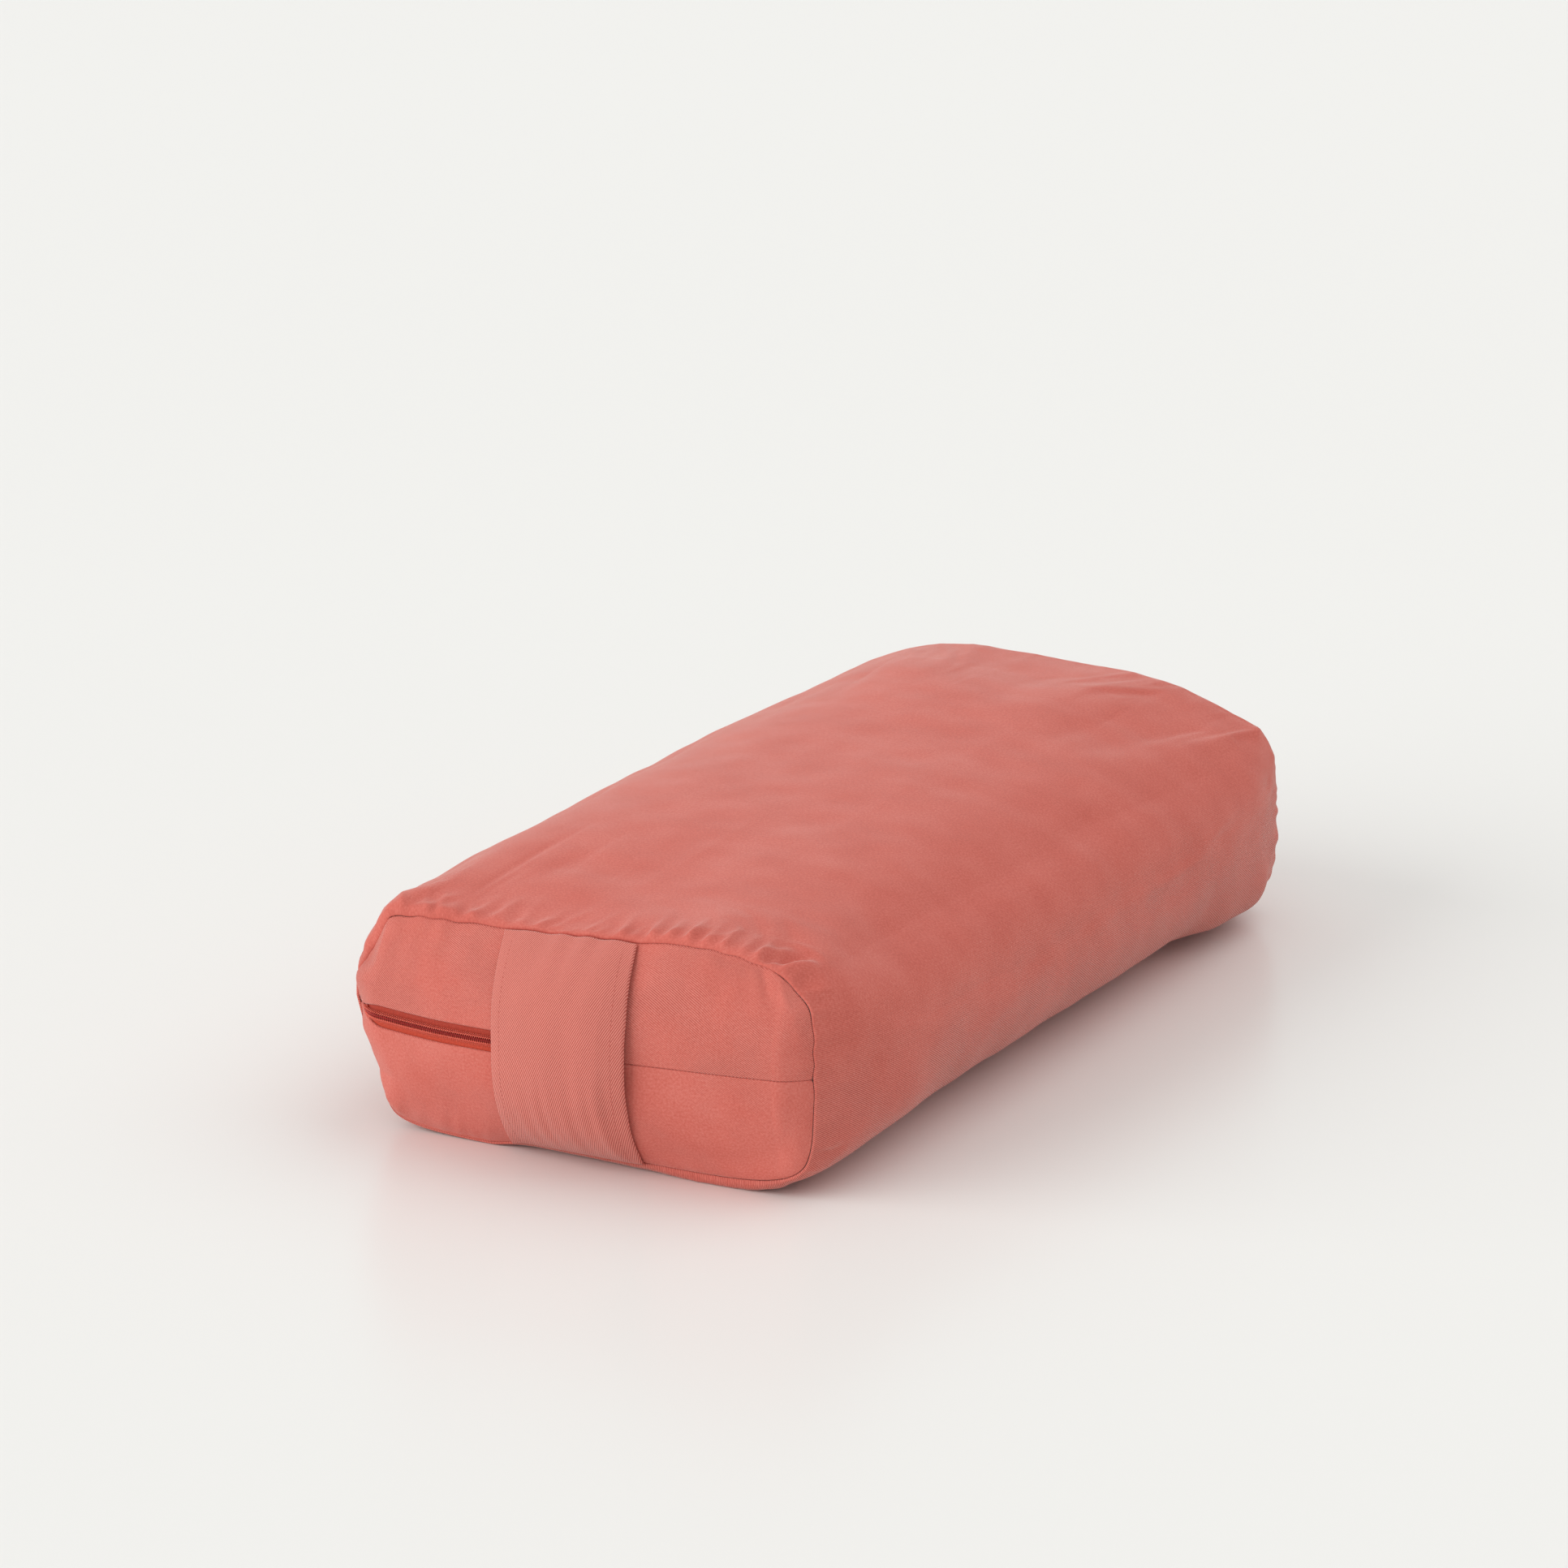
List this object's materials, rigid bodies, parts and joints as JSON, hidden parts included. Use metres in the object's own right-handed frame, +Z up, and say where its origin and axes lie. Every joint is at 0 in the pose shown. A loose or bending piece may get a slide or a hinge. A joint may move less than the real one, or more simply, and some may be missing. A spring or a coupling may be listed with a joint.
{
  "type": "rectangular yoga bolster",
  "caption": "Soft rectangular yoga bolster: zipped cloth cover with a wide carry handle on one end, over an inner bag of filling.",
  "frame": {"origin": "middle of the flat patch on the underside that the bolster rests on", "axes": "+Z up, +Y along the bolster away from the end with the zip and handle, +X to the right seen from that end"},
  "size_m": [0.31, 0.623, 0.132],
  "materials": {
    "cover_cloth": "brushed cotton twill",
    "handle_cloth": "brushed cotton twill, two layers",
    "zip_tape": "woven polyester tape",
    "zip_coil": "nylon coil",
    "zip_metal": "painted zinc",
    "liner_cloth": "unbleached calico",
    "filling": "loose fibre"
  },
  "bodies": {
    "bolster": {"cover_wrap": "cover_cloth", "front_panel_upper": "cover_cloth", "front_panel_lower": "cover_cloth", "rear_panel": "cover_cloth", "carry_handle": "handle_cloth", "zip_tape_upper": "zip_tape", "zip_tape_lower": "zip_tape", "zip_coil_upper": "zip_coil", "zip_coil_lower": "zip_coil", "zip_top_stop_upper": "zip_metal", "zip_top_stop_lower": "zip_metal", "zip_bottom_stop": "zip_metal", "liner_bag": "liner_cloth", "filling": "filling"},
    "slider": {"zip_slider": "zip_metal"},
    "pull": {"zip_pull": "zip_metal"}
  },
  "joints": [
    {"name": "zip_travel", "type": "hinge", "parent": "bolster", "child": "slider", "pos_m": [0, 0.394, 0.068], "axis": [0, 0, 1], "range_deg": [-10.2, 0], "deforming": ["zip_tape_upper", "zip_tape_lower", "zip_coil_upper", "zip_coil_lower"]},
    {"name": "pull_swing", "type": "hinge", "parent": "slider", "child": "pull", "pos_m": [0.01478, -0.3075, 0.068], "axis": [0, 0, 1], "range_deg": [0, 180], "deforming": ["carry_handle"]}
  ]
}
